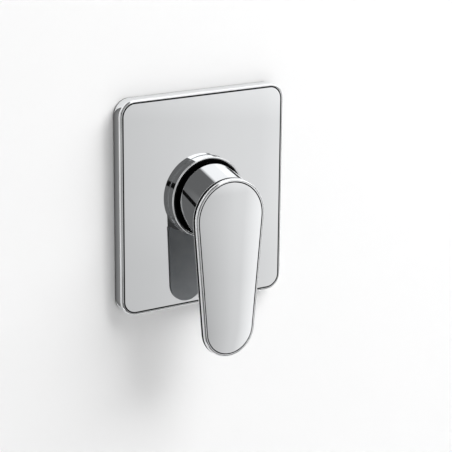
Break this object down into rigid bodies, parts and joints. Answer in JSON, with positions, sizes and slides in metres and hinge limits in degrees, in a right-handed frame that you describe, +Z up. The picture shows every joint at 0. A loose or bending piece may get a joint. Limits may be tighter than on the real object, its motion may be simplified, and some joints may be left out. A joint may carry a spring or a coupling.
{
  "type": "single-lever shower mixer",
  "caption": "Concealed shower mixer: a chrome teardrop lever on a round hub tilts for flow and turns for temperature; rounded face plate, sleeve, ceramic cartridge and brass valve body.",
  "frame": {"origin": "on the lever axis at the finished wall plane, where the rim of the face plate lies", "axes": "+Z up, +Y into the wall, so the lever faces -Y; +X to the right as the user sees it"},
  "size_m": [0.125, 0.1036, 0.1728],
  "materials": {
    "chrome": "polished",
    "brass": "satin",
    "cover_plastic": "satin",
    "black_plastic": "satin",
    "housing_plastic": "satin",
    "white_plastic": "satin",
    "red_plastic": "gloss",
    "plug_plastic": "gloss",
    "rubber": "matte",
    "foam": "matte",
    "ceramic": "polished",
    "steel": "satin"
  },
  "bodies": {
    "valve": {"face_plate": "chrome", "sleeve": "chrome", "valve_body": "brass", "cartridge_nut": "brass", "cover_ring": "black_plastic", "cartridge_housing": "housing_plastic", "cartridge_base": "housing_plastic", "slip_washer": "white_plastic", "turret_washer": "white_plastic", "limit_ring": "red_plastic", "plate_o_ring": "rubber", "sleeve_o_rings": "rubber", "base_seals": "rubber", "disc_seals": "rubber", "plate_gasket": "foam", "fixed_disc": "ceramic"},
    "swivel": {"turret": "housing_plastic", "turret_o_ring": "rubber", "pivot_pin": "steel"},
    "lever": {"spindle": "brass", "lever_handle": "chrome", "lever_back_cover": "cover_plastic", "grub_screw": "steel", "screw_plug": "plug_plastic"},
    "disc_slide": {"moving_disc": "ceramic", "disc_carrier": "white_plastic"}
  },
  "joints": [
    {"name": "temperature", "type": "hinge", "parent": "valve", "child": "swivel", "pos_m": [0, 0, 0], "axis": [0, -1, 0], "range_deg": [-50, 50]},
    {"name": "flow", "type": "hinge", "parent": "swivel", "child": "lever", "pos_m": [0, -0.014, 0], "axis": [-1, 0, 0], "range_deg": [0, 25]},
    {"name": "disc_travel", "type": "slide", "parent": "swivel", "child": "disc_slide", "axis": [0, 0, -1], "range_m": [0, 0.00846]}
  ],
  "couplings": [
    {"joint": "disc_travel", "follows": "flow", "m_per_rad": 0.019346}
  ]
}
